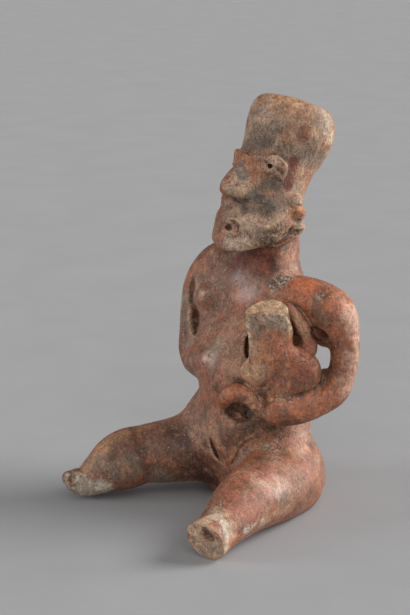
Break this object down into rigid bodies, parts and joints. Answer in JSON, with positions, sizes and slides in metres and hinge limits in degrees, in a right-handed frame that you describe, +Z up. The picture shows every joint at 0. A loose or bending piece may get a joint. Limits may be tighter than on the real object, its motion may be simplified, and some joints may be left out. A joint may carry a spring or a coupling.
{
  "type": "seated figure",
  "caption": "Seated pottery mother with spread legs, a tall leaning head and a headless child held on the left hip, one fired piece with broken feet.",
  "frame": {"origin": "on the ground under the middle of the hips, on the flat underside", "axes": "+Z up, the figure faces -Y, her left side is +X"},
  "size_m": [0.1372, 0.1452, 0.2385],
  "materials": {
    "fired_clay": "fired clay with a worn burnished red-brown slip, stained and gritty, low sheen"
  },
  "bodies": {
    "root": {"seated_figure": "fired_clay"}
  },
  "joints": []
}
